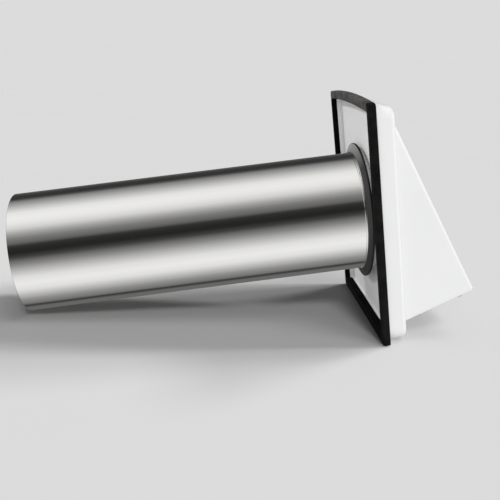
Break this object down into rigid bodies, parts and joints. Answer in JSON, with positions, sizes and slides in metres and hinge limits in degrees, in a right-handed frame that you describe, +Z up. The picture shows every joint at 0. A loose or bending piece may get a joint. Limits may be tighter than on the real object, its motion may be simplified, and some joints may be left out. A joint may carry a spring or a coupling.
{
  "type": "through-wall vent cap",
  "caption": "Through-wall vent cap: long polished duct tube, framed wall plate with foam strip, sloped white hood open below with hinged flap and wire guard.",
  "frame": {"origin": "on the duct's axis, at the wall-side face of the back plate, which is the centre of the four wall screw holes", "axes": "+Z up as fitted, +Y along the duct into the wall, -Y outdoors, X across the width"},
  "size_m": [0.236, 0.5432, 0.294],
  "materials": {
    "polished_steel": "polished stainless steel, mirror bright with fine drawing lines",
    "plate_steel": "dull stainless sheet",
    "white_coating": "gloss white powder coat",
    "foam_rubber": "closed-cell foam, matt black",
    "collar_rubber": "dark grey moulded rubber",
    "zinc_steel": "zinc-plated sheet",
    "seal_foam": "soft cellular rubber",
    "flap_aluminium": "mill finish sheet",
    "pin_steel": "drawn stainless rod",
    "spring_steel": "blued spring steel",
    "white_nylon": "natural nylon",
    "buffer_rubber": "moulded black rubber",
    "guard_wire": "welded stainless wire",
    "screw_steel": "stainless pan head",
    "nut_steel": "zinc-plated"
  },
  "bodies": {
    "cap": {"duct_tube": "polished_steel", "duct_ring": "plate_steel", "duct_seal": "collar_rubber", "back_plate": "plate_steel", "wall_gasket": "foam_rubber", "hood_shell": "white_coating", "damper_frame": "zinc_steel", "flap_seal": "seal_foam", "bush_left": "white_nylon", "bush_right": "white_nylon", "stop_pad_left": "buffer_rubber", "stop_pad_right": "buffer_rubber", "bird_guard": "guard_wire", "guard_screws": "screw_steel", "bracket_left": "zinc_steel", "bracket_right": "zinc_steel", "rivet_nuts": "nut_steel", "hood_screws": "screw_steel"},
    "flap": {"damper_flap": "flap_aluminium", "hinge_pin": "pin_steel", "pin_clips": "spring_steel"}
  },
  "joints": [
    {"name": "flap_hinge", "type": "hinge", "parent": "cap", "child": "flap", "pos_m": [0, -0.0076, 0.086], "axis": [-1, 0, 0], "range_deg": [0, 28]}
  ]
}
